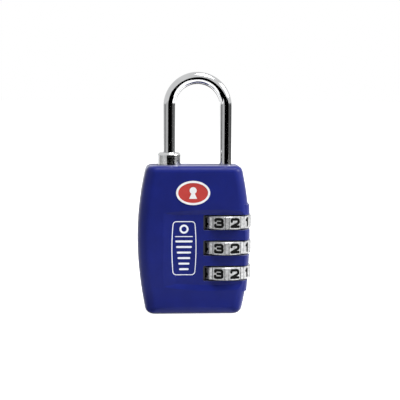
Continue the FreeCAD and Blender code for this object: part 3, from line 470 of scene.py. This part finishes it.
def chrome(name, metal, roughness, peel_height):
    """Bright chrome with hairline scratches and some orange peel."""
    material, shader = principled(name, metal.chrome, 1, roughness)
    scratch = noise(material, 0.25 * MM, detail=5, stretch=(1, 1, 0.06))
    peel = noise(material, 1.6 * MM, detail=1)
    pits = noise(material, 0.4 * MM, detail=2)
    vary_roughness(material, shader, scratch, roughness, roughness + 0.05, 0.5, 0.8)
    mottle(material, shader, peel, metal.chrome, shaded(metal.chrome, 0.94))
    relief(material, shader, (peel, peel_height), (pits, peel_height))
    return material


def satin_dial(metal):
    """Satin-plated casting: fine turned lines and pitting."""
    material, shader = principled("satin_dial", metal.dial, 0.75, metal.dial_roughness)
    lines = noise(material, 0.10 * MM, detail=3, stretch=(0.15, 0.15, 1))
    pits = noise(material, 0.5 * MM, detail=4)
    mottle(material, shader, pits, metal.dial, shaded(metal.dial, 0.45))
    mean = metal.dial_roughness
    vary_roughness(material, shader, pits, mean - 0.05, mean + 0.12)
    relief(material, shader, (pits, 0.004 * MM), (lines, 0.0015 * MM))
    return material


def number_ink(numbers):
    """Black enamel in the numbers."""
    material, shader = principled("number_ink", numbers.ink, 0, 0.5)
    shader.inputs["Specular IOR Level"].default_value = numbers.gloss
    speckle = noise(material, 0.15 * MM, detail=3)
    vary_roughness(material, shader, speckle, 0.42, 0.6)
    relief(material, shader, (speckle, 0.002 * MM))
    return material


def screen_ink(name, ink):
    """Slightly uneven screen-printed ink."""
    material, shader = principled(name, ink, 0, 0.45)
    weave = noise(material, 0.12 * MM, detail=3)
    mottle(material, shader, weave, shaded(ink, 0.86), ink)
    vary_roughness(material, shader, weave, 0.38, 0.55)
    relief(material, shader, (weave, 0.002 * MM))
    return material


def enamel(name, tone):
    """Glossy poured enamel."""
    material, shader = principled(name, tone, 0, 0.18)
    shader.inputs["Coat Weight"].default_value = 0.5
    shader.inputs["Coat Roughness"].default_value = 0.06
    swirl = noise(material, 2.5 * MM, detail=2)
    mottle(material, shader, swirl, shaded(tone, 0.88), tone)
    relief(material, shader, (swirl, 0.01 * MM))
    return material


def cast_metal(name, tone):
    """As-cast or sintered metal: grainy, dull and a little blotched."""
    material, shader = principled(name, tone, 0.9, 0.5)
    grains = noise(material, 0.18 * MM, detail=5)
    blotch = noise(material, 2.2 * MM, detail=3)
    mottle(material, shader, blotch, shaded(tone, 0.72), tone)
    vary_roughness(material, shader, grains, 0.42, 0.62)
    relief(material, shader, (grains, 0.012 * MM))
    return material


def turned_metal(name, tone, roughness=0.24):
    """Turned or drawn metal with fine lines round its own axis."""
    material, shader = principled(name, tone, 1, roughness)
    lines = noise(material, 0.08 * MM, detail=4, stretch=(0.2, 0.2, 1))
    stain = noise(material, 1.5 * MM, detail=4)
    mottle(material, shader, stain, tone, shaded(tone, 0.8))
    vary_roughness(material, shader, lines, roughness - 0.05, roughness + 0.12)
    relief(material, shader, (lines, 0.002 * MM))
    return material


def dress(slots, material):
    """Give a finish to every CAD node of the record's material slots."""
    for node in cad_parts.values():
        for place in node.material_slots:
            if place.material.name in slots:
                place.material = material


def pressed_spring(node, material):
    """Show a spring by a copy of its own mesh that rides on the case, in place of the CAD node."""
    coil = bpy.data.objects.new(f"{node}_coil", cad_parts[node].data.copy())
    bpy.context.scene.collection.objects.link(coil)
    coil.data.materials.clear()
    coil.data.materials.append(material)
    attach(coil, "case")
    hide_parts(node)
    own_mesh(coil)


# --------------------------------------------------------------- numbers and print

# Each number is its strokes, in half widths and half heights from the middle.
# A third number scales the radius of that corner; "loop" closes a stroke.
NUMERALS = {
    0: [[(-1, -1), (1, -1), (1, 1), (-1, 1), "loop"]],
    1: [[(-0.5, 0.55), (0.1, 1)], [(0.1, 1), (0.1, -1)]],
    2: [[(-1, 0.45), (-1, 1), (1, 1), (1, 0, 0.8), (-1, -1)], [(-1, -1), (1, -1)]],
    3: [[(-0.95, 0.6), (-0.95, 1), (0.95, 1), (0.95, 0.04, 0.8), (-0.3, 0.04)],
        [(-0.3, 0.04), (1, 0.04, 0.8), (1, -1), (-1, -1), (-1, -0.55)]],
    4: [[(0.4, -1), (0.4, 1)], [(0.4, 1), (-1, -0.4)], [(-1, -0.4), (1, -0.4)]],
    5: [[(0.9, 1), (-0.85, 1)], [(-0.85, 1), (-0.9, 0.15)],
        [(-0.9, 0.15), (1, 0.15), (1, -1), (-1, -1), (-1, -0.6)]],
    6: [[(0.9, 0.65), (0.9, 1), (-1, 1), (-1, -0.4)],
        [(-1, 0.12), (-1, -1), (1, -1), (1, 0.12), "loop"]],
    7: [[(-1, 1), (1, 1)], [(1, 1), (-0.25, -1)]],
    8: [[(-0.9, 0.04), (0.9, 0.04), (0.9, 1), (-0.9, 1), "loop"],
        [(-1, -1), (1, -1), (1, 0.04), (-1, 0.04), "loop"]],
    9: [[(-0.9, -0.65), (-0.9, -1), (1, -1), (1, 0.4)],
        [(1, -0.12), (1, 1), (-1, 1), (-1, -0.12), "loop"]],
}


def numeral(digit, style):
    """Build one number as a film of ink in its own plane."""
    half_width = (style.width - style.stroke) / 2
    half_height = (style.height - style.stroke) / 2
    polygons = []
    for points in NUMERALS[digit]:
        closed = points[-1] == "loop"
        corners = [
            (p[0] * half_width, p[1] * half_height, *p[2:]) for p in points if p != "loop"
        ]
        path = rounded(corners, style.corner, closed)
        polygons += stroke(path, style.stroke, closed)
    return ink_film(polygons, style.film)


def numbered_dial(node, films, material):
    """Put 0 to 9 on the flat pads of one dial, with 0 facing +X."""
    low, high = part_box(node)
    axis = (low + high) / 2
    faces = surface(node)
    numbers = bmesh.new()
    for digit, film in films.items():
        turn = math.pi / 2 - digit * NUMERAL_STEP
        out = Vector((math.sin(turn), -math.cos(turn), 0))
        right = Vector((math.cos(turn), math.sin(turn), 0))
        pad = faces.ray_cast(axis + out * (high.x - low.x), -out)[0]
        place = Matrix((right, Vector((0, 0, 1)), out)).transposed().to_4x4()
        place.translation = pad
        add_to(numbers, film, place)
    finish_mesh(f"{node}_numbers", numbers, material, node)


def arc(center, radius, start, end, steps):
    """Points along an arc, from one angle to another."""
    turns = (start + (end - start) * k / steps for k in range(steps + 1))
    return [center + Vector((math.cos(a), math.sin(a))) * radius for a in turns]


def circle(center, radius, steps=24):
    """Points of a circle."""
    return arc(center, radius, 0, 2 * math.pi, steps)[:-1]


def bowed_frame(width, height, bow, corner):
    """An upright frame whose long sides bow outwards, with rounded corners."""
    side_steps = 8
    right = [
        Vector((width / 2 - bow * (2 * k / side_steps - 1) ** 2, height * (k / side_steps - 0.5)))
        for k in range(side_steps + 1)
    ]
    left = [Vector((-p.x, -p.y)) for p in right]
    corners = [*right, *left]
    ends = (0, side_steps, side_steps + 1, 2 * side_steps + 1)
    points = [(p.x, p.y, 1 if i in ends else 0) for i, p in enumerate(corners)]
    return rounded(points, corner, closed=True)


def print_polygons(style):
    """The plain print: a bowed outline, a ring in its head and a ladder of bars below."""
    top = style.height / 2
    divider = top - style.head * style.height
    half = style.width / 2 - style.margin
    outline = bowed_frame(style.width, style.height, style.bow, style.corner)
    polygons = stroke(outline, style.line, closed=True)
    polygons += stroke([Vector((-half, divider)), Vector((half, divider))], style.line)
    ring = circle(Vector((0, (top + divider) / 2)), style.ring)
    polygons += stroke(ring, style.ring_line, closed=True)
    lowest = style.foot - top
    climb = divider - style.gap - lowest
    for k in range(style.bars):
        rise = k / (style.bars - 1)
        reach = half * (style.shortest + (style.longest - style.shortest) * rise)
        y = lowest + climb * rise
        polygons += stroke([Vector((-reach, y)), Vector((reach, y))], style.bar)
    return polygons


def keyhole_outline(style):
    """A keyhole: a round head that opens below into a flared foot."""
    height = style.keyhole
    head, foot = style.keyhole_head * height, style.keyhole_foot * height
    opening = math.radians(60)
    start = (opening - math.pi) / 2
    end = start + 2 * math.pi - opening
    outline = arc(Vector((0, height / 2 - head)), head, start, end, 20)
    return [*outline, Vector((-foot, -height / 2)), Vector((foot, -height / 2))]


def lay_on_front(name, polygons, film, node, middle, material):
    """Lay a film on a node's front face, with its middle at an x and a z."""
    faces = surface(node)
    before_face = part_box(node)[0].y - MM
    flat = ink_film(polygons, film)
    laid = bmesh.new()

    def on_face(point):
        start = Vector((middle[0] + point.x, before_face, middle[1] + point.y))
        hit = faces.ray_cast(start, Vector((0, 1, 0)))[0]
        return hit - Vector((0, point.z, 0))

    add_to(laid, flat, on_face)
    flat.free()
    finish_mesh(name, laid, material, "case")


# --------------------------------------------------------------------- operators

class PADLOCK_OT_shells(bpy.types.Operator):
    """Finish the two moulded shells."""

    bl_idname = "padlock.shells"
    bl_label = "Finish shells"

    def execute(self, context):
        dress({"case_plastic"}, moulded_plastic(context.scene.padlock_case))
        return {"FINISHED"}


class PADLOCK_OT_shackle(bpy.types.Operator):
    """Finish the shackle and the release collar."""

    bl_idname = "padlock.shackle"
    bl_label = "Finish shackle and collar"

    def execute(self, context):
        metal = context.scene.padlock_metal
        smooth, rough = metal.chrome_roughness, metal.collar_roughness
        dress({"shackle_chrome"}, chrome("polished_chrome", metal, smooth, 0.0003 * MM))
        dress({"collar_chrome"}, chrome("cast_chrome", metal, rough, 0.006 * MM))
        return {"FINISHED"}


class PADLOCK_OT_dials(bpy.types.Operator):
    """Finish the dials and fill in their numbers."""

    bl_idname = "padlock.dials"
    bl_label = "Finish and number dials"

    def execute(self, context):
        style = context.scene.padlock_numbers
        dress({"dial_metal"}, satin_dial(context.scene.padlock_metal))
        ink = number_ink(style)
        films = {digit: numeral(digit, style) for digit in NUMERALS}
        for node in DIALS:
            numbered_dial(node, films, ink)
        for film in films.values():
            film.free()
        return {"FINISHED"}


class PADLOCK_OT_print(bpy.types.Operator):
    """Print the plain white outline, ring and bars on the front shell."""

    bl_idname = "padlock.front_print"
    bl_label = "Print front"

    def execute(self, context):
        style = context.scene.padlock_print
        dials_low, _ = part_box(DIALS[0])
        _, dials_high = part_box(DIALS[-1])
        middle = (-style.to_left, (dials_low.z + dials_high.z) / 2)
        ink = screen_ink("print_ink", style.ink)
        lay_on_front("front_print", print_polygons(style), style.film, "front_shell", middle, ink)
        return {"FINISHED"}


class PADLOCK_OT_badge(bpy.types.Operator):
    """Finish the oval badge and lay a keyhole on its enamel."""

    bl_idname = "padlock.badge"
    bl_label = "Finish badge"

    def execute(self, context):
        style = context.scene.padlock_badge
        dress({"badge_enamel"}, enamel("badge_red", style.red))
        white = enamel("badge_white", style.white)
        dress({"badge_border"}, white)
        low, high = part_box("badge_inlay")
        middle = ((low.x + high.x) / 2, (low.z + high.z) / 2)
        keyhole = [keyhole_outline(style)]
        lay_on_front("badge_keyhole", keyhole, style.film, "badge_inlay", middle, white)
        return {"FINISHED"}


class PADLOCK_OT_works(bpy.types.Operator):
    """Finish the castings, the cylinder, the springs and the other inner pieces."""

    bl_idname = "padlock.works"
    bl_label = "Finish inner pieces"

    def execute(self, context):
        metal = context.scene.padlock_metal
        # The castings take the darkened zinc, a painted shade for the gaps round the dials.
        dress({"cast_zinc"}, cast_metal("cast_zinc_painted_shade", metal.shaded_zinc))
        dress({"clutch_metal"}, cast_metal("sintered_steel", metal.sinter))
        dress({"cylinder_brass", "plug_brass"}, turned_metal("turned_brass", metal.brass))
        drawn = turned_metal("drawn_steel", metal.steel, 0.2)
        dress({"pin_steel", "spring_steel"}, drawn)
        pressed_spring("collar_spring", drawn)
        return {"FINISHED"}


class PADLOCK_OT_stage(bpy.types.Operator):
    """Set up the floor, the cards, the lamps and the camera."""

    bl_idname = "padlock.stage"
    bl_label = "Set up studio"

    def execute(self, context):
        studio = context.scene.padlock_studio
        pale_floor(studio)
        studio_cards(studio)
        soft_lamps(studio)
        white_world(context.scene, studio)
        place_camera(context.scene, studio)
        context.scene.view_settings.view_transform = "Standard"
        return {"FINISHED"}


# ------------------------------------------------------------------------- stage

# Degrees to the right of the camera's side where a card starts and ends, its height and its
# tone, from 0, black, to 1, white.
STANDING_CARDS = (
    (-112, -65, 0.085, 0.38),
    (-65, -23, 0.10, 0.70),
    (-23, 15, 0.176, 0.0),
    (15, 57, 0.12, 0.0),
    (57, 80, 0.085, 0.14),
    (80, 102, 0.085, 0.22),
    (102, 124, 0.085, 0.02),
    (124, 150, 0.085, 0.45),
)
# Degrees as above, and the distances from the lock where a black card starts and ends.
LYING_CARDS = (
    (-60, -23, 0.10, 0.30),
    (-23, 15, 0.10, 0.44),
    (15, 57, 0.20, 0.44),
    (150, 215, 0.03, 0.44),
    # The last, a narrow ring round the base, is a painted shadow: it stands in for the floor's shade
    # next to the lock in reflections.
    (-75, 75, 0.012, 0.026),
)
# Each soft box's name, place, side, power in watts, and whether gloss shows it.
SOFT_BOXES = (
    ("left_box", (-0.78, -0.35, 0.45), 0.90, 1.8, False),
    ("right_box", (0.82, -0.22, 0.50), 0.42, 10.6, True),
    ("top_box", (0.23, -0.24, 0.82), 0.38, 8.4, True),
)


def stage_sheet(name, corners, faces, material):
    """A sheet that belongs to the stage."""
    mesh = bpy.data.meshes.new(name)
    mesh.from_pydata(corners, [], faces)
    mesh.materials.append(material)
    sheet = bpy.data.objects.new(name, mesh)
    bpy.context.scene.collection.objects.link(sheet)
    return sheet


def seen_directly(material):
    """A factor that is 1 for camera, glossy and transmission rays."""
    rays = add(material, "ShaderNodeLightPath")
    value = rays.outputs["Is Camera Ray"]
    for name in ("Is Glossy Ray", "Is Transmission Ray"):
        larger = add(material, "ShaderNodeMath", {"operation": "MAXIMUM"})
        join(material, value, larger.inputs[0])
        join(material, rays.outputs[name], larger.inputs[1])
        value = larger.outputs["Value"]
    return value


def pale_floor(studio):
    """A round pale floor that glows white only where it is seen directly or in gloss."""
    material = bpy.data.materials.new("pale_floor")
    material.use_nodes = True
    tree = material.node_tree
    shader = tree.nodes["Principled BSDF"]
    shader.inputs["Base Color"].default_value = (*studio.floor, 1)
    shader.inputs["Roughness"].default_value = 0.9
    shader.inputs["Specular IOR Level"].default_value = 0
    glow = add(material, "ShaderNodeEmission", Strength=studio.floor_glow)
    seen = seen_directly(material)
    fade = add(material, "ShaderNodeMixShader")
    join(material, seen, fade.inputs[0])
    join(material, shader.outputs["BSDF"], fade.inputs[1])
    both = add(material, "ShaderNodeAddShader")
    join(material, shader.outputs["BSDF"], both.inputs[0])
    join(material, glow.outputs["Emission"], both.inputs[1])
    join(material, both.outputs["Shader"], fade.inputs[2])
    join(material, fade.outputs["Shader"], tree.nodes["Material Output"].inputs["Surface"])
    corners = [(*point, 0) for point in circle(Vector((0, 0)), studio.floor_reach, 64)]
    stage_sheet("floor", corners, [list(range(len(corners)))], material)


def card_paint(tone):
    """The flat tone of a studio card, from 0, black, to 1, white."""
    material = bpy.data.materials.new(f"card_{round(100 * tone)}")
    material.use_nodes = True
    tree = material.node_tree
    glow = add(material, "ShaderNodeEmission", Strength=tone)
    join(material, glow.outputs["Emission"], tree.nodes["Material Output"].inputs["Surface"])
    return material


def card(name, start, end, low_rim, high_rim, tone, facing):
    """A curved card round the lock, between two rims of (radius, height), seen in gloss only."""
    degrees_a_step = 8
    steps = max(2, round((end - start) / degrees_a_step))
    turns = [math.radians(start + (end - start) * k / steps) + facing for k in range(steps + 1)]
    corners = [
        (reach * math.sin(turn), -reach * math.cos(turn), height)
        for turn in turns for reach, height in (low_rim, high_rim)
    ]
    faces = [(2 * k, 2 * k + 2, 2 * k + 3, 2 * k + 1) for k in range(steps)]
    sheet = stage_sheet(name, corners, faces, card_paint(tone))
    sheet.visible_camera = False
    sheet.visible_shadow = False
    sheet.visible_diffuse = False


def studio_cards(studio):
    """Black and grey cards, which draw the dark lines on the chrome and calm the gloss."""
    lift = 0.5 * MM
    reach = studio.card_distance
    for index, (start, end, height, tone) in enumerate(STANDING_CARDS):
        card(f"card_standing_{index}", start, end, (reach, lift), (reach, height), tone,
             studio.azimuth)
    for index, (start, end, near, far) in enumerate(LYING_CARDS):
        card(f"card_lying_{index}", start, end, (near, lift), (far, lift), 0, studio.azimuth)


def soft_lamps(studio):
    """Square soft boxes on both sides and above, which point at the lock."""
    aim = Vector((0, 0, studio.lamp_aim))
    for name, place, side, power, glossy in SOFT_BOXES:
        lamp = bpy.data.lights.new(name, "AREA")
        lamp.size = side
        lamp.energy = power
        holder = bpy.data.objects.new(name, lamp)
        bpy.context.scene.collection.objects.link(holder)
        holder.location = place
        holder.rotation_euler = (aim - Vector(place)).to_track_quat("-Z", "Y").to_euler()
        holder.visible_glossy = glossy


def white_world(scene, studio):
    """A world that is white to the camera and in reflections, and soft light otherwise."""
    world = bpy.data.worlds.new("studio_white")
    scene.world = world
    world.use_nodes = True
    tree = world.node_tree
    back = tree.nodes["Background"]
    back.inputs["Color"].default_value = (1, 1, 1, 1)
    rays = seen_directly(world)
    strength = add(world, "ShaderNodeMapRange", To_Min=studio.ambient, To_Max=1)
    join(world, rays, strength.inputs["Value"])
    join(world, strength.outputs["Result"], back.inputs["Strength"])


def place_camera(scene, studio):
    """Set the camera in front of the lock, looking slightly down at the aim."""
    lens = bpy.data.cameras.new("camera")
    lens.sensor_width = 36
    lens.lens = studio.lens
    lens.clip_start = 0.01
    camera = bpy.data.objects.new("camera", lens)
    scene.collection.objects.link(camera)
    aim = Vector((studio.aim_x, 0, studio.aim_z))
    level = math.cos(studio.elevation)
    back = Vector((math.sin(studio.azimuth) * level, -math.cos(studio.azimuth) * level,
                   math.sin(studio.elevation)))
    camera.location = aim + back * studio.distance
    turn = (-back).to_track_quat("-Z", "Y").to_matrix()
    camera.rotation_euler = (turn @ Matrix.Rotation(studio.roll, 3, "Z")).to_euler()
    scene.camera = camera


# ------------------------------------------------------------------------- add-on

GROUPS = {
    "padlock_case": PadlockCase,
    "padlock_metal": PadlockMetal,
    "padlock_numbers": PadlockNumbers,
    "padlock_print": PadlockPrint,
    "padlock_badge": PadlockBadge,
    "padlock_studio": PadlockStudio,
}
OPERATORS = (
    PADLOCK_OT_shells,
    PADLOCK_OT_shackle,
    PADLOCK_OT_dials,
    PADLOCK_OT_print,
    PADLOCK_OT_badge,
    PADLOCK_OT_works,
    PADLOCK_OT_stage,
)


class PADLOCK_PT_panel(bpy.types.Panel):
    """Lists the steps and the sizes and colours that each reads."""

    bl_idname = "PADLOCK_PT_panel"
    bl_label = "Travel padlock"
    bl_space_type = "VIEW_3D"
    bl_region_type = "UI"
    bl_category = "Padlock"

    def draw(self, context):
        for operator in OPERATORS:
            self.layout.operator(operator.bl_idname)
        for name, group in GROUPS.items():
            box = self.layout.box()
            box.label(text=group.__doc__)
            for prop in group.__annotations__:
                box.prop(getattr(context.scene, name), prop)


def register():
    """Register the groups, the operators and the panel."""
    for name, group in GROUPS.items():
        bpy.utils.register_class(group)
        setattr(bpy.types.Scene, name, bpy.props.PointerProperty(type=group))
    for item in (*OPERATORS, PADLOCK_PT_panel):
        bpy.utils.register_class(item)


def unregister():
    """Take everything out again."""
    for item in (PADLOCK_PT_panel, *reversed(OPERATORS)):
        bpy.utils.unregister_class(item)
    for name, group in reversed(GROUPS.items()):
        delattr(bpy.types.Scene, name)
        bpy.utils.unregister_class(group)


def main():
    """Make every finish and piece in order."""
    register()
    bpy.ops.padlock.shells()
    bpy.ops.padlock.shackle()
    bpy.ops.padlock.dials()
    bpy.ops.padlock.front_print()
    bpy.ops.padlock.badge()
    bpy.ops.padlock.works()
    bpy.ops.padlock.stage()


if __name__ == "__main__":
    main()
